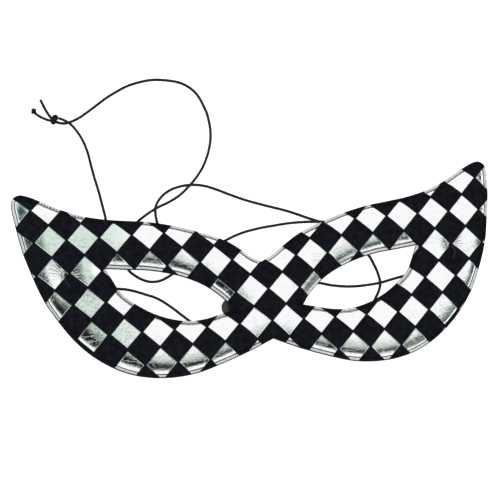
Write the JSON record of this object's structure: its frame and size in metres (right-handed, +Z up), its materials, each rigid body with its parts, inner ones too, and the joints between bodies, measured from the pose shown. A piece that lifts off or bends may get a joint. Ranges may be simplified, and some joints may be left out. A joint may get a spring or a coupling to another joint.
{
  "type": "masquerade eye mask",
  "caption": "Half-face eye mask with swept-up pointed tips, almond eye holes and a puffed chequered face, with a foam nose strip and a loose round elastic.",
  "frame": {"origin": "on the table under the middle of the mask's outline, with the mask lying face up", "axes": "+X across the face to the right-hand tip in the picture, +Y towards the forehead edge, +Z up out of the face"},
  "size_m": [0.2086, 0.1332, 0.0124],
  "materials": {
    "printed_shell": "silver foil and black flock checks",
    "foam": "matte closed-cell foam",
    "elastic": "braided cord"
  },
  "bodies": {
    "root": {"mask_shell": "printed_shell", "nose_strip": "foam", "elastic_left_strand": "elastic", "elastic_top_strand": "elastic", "elastic_lower_strand": "elastic", "elastic_stitch_left": "elastic", "elastic_stitch_right": "elastic", "elastic_knot": "elastic", "elastic_tail_frayed": "elastic", "elastic_tail_plain": "elastic"}
  },
  "joints": []
}
